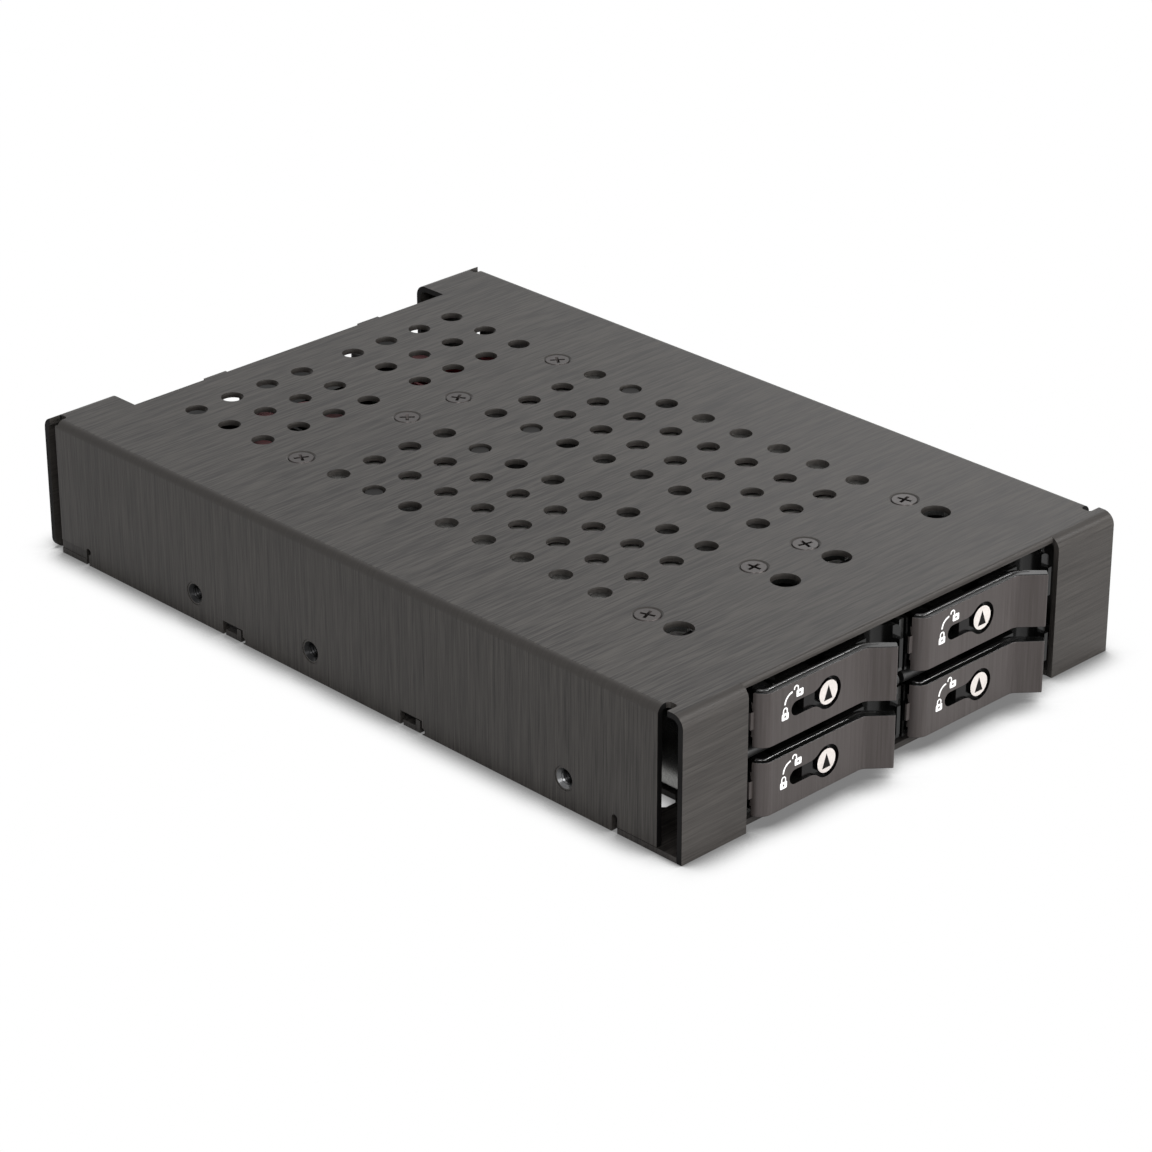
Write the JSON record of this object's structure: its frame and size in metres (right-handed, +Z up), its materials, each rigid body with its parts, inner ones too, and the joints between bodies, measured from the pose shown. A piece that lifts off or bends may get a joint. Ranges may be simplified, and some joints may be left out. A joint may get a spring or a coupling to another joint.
{
  "type": "hot swap drive cage",
  "caption": "Flat hot swap cage for a 3.5 inch bay with pull-out card trays, swing levers, turn locks, a vented brushed cover and rear connectors.",
  "frame": {"origin": "on the floor under the centre of the whole depth with the levers closed", "axes": "+X to the right seen from the front, +Y to the back, +Z up"},
  "size_m": [0.1016, 0.16, 0.0254],
  "materials": {
    "anodised_cover": "brushed, black anodised",
    "anodised_plate": "black anodised",
    "cage_sheet": "satin black powder coat",
    "moulded_black": "moulded satin black",
    "spring_steel": "bright spring steel",
    "black_screw": "black oxide",
    "zinc_steel": "zinc plated",
    "circuit_board": "solder mask",
    "connector_plastic": "moulded black",
    "nickel_brass": "turned",
    "connector_shell": "nickel plated shell",
    "capacitor_can": "lacquered can",
    "chip_resin": "moulded resin",
    "tray_metal": "die cast, grey",
    "heat_spreader": "blasted",
    "clear_acrylic": "clear",
    "lever_finish": "brushed, black anodised",
    "smoked_acrylic": "smoked",
    "lock_metal": "nickel plated"
  },
  "bodies": {
    "chassis": {"top_cover": "anodised_cover", "bottom_plate": "anodised_plate", "cage_channel_left": "cage_sheet", "cage_channel_right": "cage_sheet", "cage_divider": "cage_sheet", "guide_shelf_left": "moulded_black", "guide_shelf_right": "moulded_black", "ground_clips": "spring_steel", "cover_screws": "black_screw", "base_screws": "black_screw", "side_mount_nuts": "zinc_steel", "backplane_board": "circuit_board", "card_sockets": "connector_plastic", "io_board": "circuit_board", "board_standoffs": "nickel_brass", "io_board_screws": "zinc_steel", "backplane_screws": "zinc_steel", "data_connectors": "connector_shell", "power_connector": "connector_plastic", "capacitors": "capacitor_can", "control_chips": "chip_resin", "board_link": "connector_plastic"},
    "tray_upper_left": {"tray_base_upper_left": "tray_metal", "tray_bezel_upper_left": "moulded_black", "tray_lid_upper_left": "heat_spreader", "lid_screws_upper_left": "black_screw", "lever_pin_upper_left": "spring_steel", "light_pipe_upper_left": "clear_acrylic"},
    "lever_upper_left": {"lever_upper_left": "lever_finish", "status_lens_upper_left": "smoked_acrylic"},
    "lock_upper_left": {"lock_knob_upper_left": "lock_metal"},
    "tray_upper_right": {"tray_base_upper_right": "tray_metal", "tray_bezel_upper_right": "moulded_black", "tray_lid_upper_right": "heat_spreader", "lid_screws_upper_right": "black_screw", "lever_pin_upper_right": "spring_steel", "light_pipe_upper_right": "clear_acrylic"},
    "lever_upper_right": {"lever_upper_right": "lever_finish", "status_lens_upper_right": "smoked_acrylic"},
    "lock_upper_right": {"lock_knob_upper_right": "lock_metal"},
    "tray_lower_left": {"tray_base_lower_left": "tray_metal", "tray_bezel_lower_left": "moulded_black", "tray_lid_lower_left": "heat_spreader", "lid_screws_lower_left": "black_screw", "lever_pin_lower_left": "spring_steel", "light_pipe_lower_left": "clear_acrylic"},
    "lever_lower_left": {"lever_lower_left": "lever_finish", "status_lens_lower_left": "smoked_acrylic"},
    "lock_lower_left": {"lock_knob_lower_left": "lock_metal"},
    "tray_lower_right": {"tray_base_lower_right": "tray_metal", "tray_bezel_lower_right": "moulded_black", "tray_lid_lower_right": "heat_spreader", "lid_screws_lower_right": "black_screw", "lever_pin_lower_right": "spring_steel", "light_pipe_lower_right": "clear_acrylic"},
    "lever_lower_right": {"lever_lower_right": "lever_finish", "status_lens_lower_right": "smoked_acrylic"},
    "lock_lower_right": {"lock_knob_lower_right": "lock_metal"}
  },
  "joints": [
    {"name": "tray_slide_upper_left", "type": "slide", "parent": "chassis", "child": "tray_upper_left", "axis": [0, -1, 0], "range_m": [0, 0.108]},
    {"name": "lever_hinge_upper_left", "type": "hinge", "parent": "tray_upper_left", "child": "lever_upper_left", "pos_m": [-0.03225, -0.0741, 0.0187], "axis": [0, 0, -1], "range_deg": [0, 70]},
    {"name": "lock_turn_upper_left", "type": "hinge", "parent": "lever_upper_left", "child": "lock_upper_left", "pos_m": [-0.0198, -0.0755, 0.0187], "axis": [0, -1, 0], "range_deg": [0, 90]},
    {"name": "tray_slide_upper_right", "type": "slide", "parent": "chassis", "child": "tray_upper_right", "axis": [0, -1, 0], "range_m": [0, 0.108]},
    {"name": "lever_hinge_upper_right", "type": "hinge", "parent": "tray_upper_right", "child": "lever_upper_right", "pos_m": [0.00405, -0.0741, 0.0187], "axis": [0, 0, -1], "range_deg": [0, 70]},
    {"name": "lock_turn_upper_right", "type": "hinge", "parent": "lever_upper_right", "child": "lock_upper_right", "pos_m": [0.0165, -0.0755, 0.0187], "axis": [0, -1, 0], "range_deg": [0, 90]},
    {"name": "tray_slide_lower_left", "type": "slide", "parent": "chassis", "child": "tray_lower_left", "axis": [0, -1, 0], "range_m": [0, 0.108]},
    {"name": "lever_hinge_lower_left", "type": "hinge", "parent": "tray_lower_left", "child": "lever_lower_left", "pos_m": [-0.03225, -0.0741, 0.0067], "axis": [0, 0, -1], "range_deg": [0, 70]},
    {"name": "lock_turn_lower_left", "type": "hinge", "parent": "lever_lower_left", "child": "lock_lower_left", "pos_m": [-0.0198, -0.0755, 0.0067], "axis": [0, -1, 0], "range_deg": [0, 90]},
    {"name": "tray_slide_lower_right", "type": "slide", "parent": "chassis", "child": "tray_lower_right", "axis": [0, -1, 0], "range_m": [0, 0.108]},
    {"name": "lever_hinge_lower_right", "type": "hinge", "parent": "tray_lower_right", "child": "lever_lower_right", "pos_m": [0.00405, -0.0741, 0.0067], "axis": [0, 0, -1], "range_deg": [0, 70]},
    {"name": "lock_turn_lower_right", "type": "hinge", "parent": "lever_lower_right", "child": "lock_lower_right", "pos_m": [0.0165, -0.0755, 0.0067], "axis": [0, -1, 0], "range_deg": [0, 90]}
  ]
}
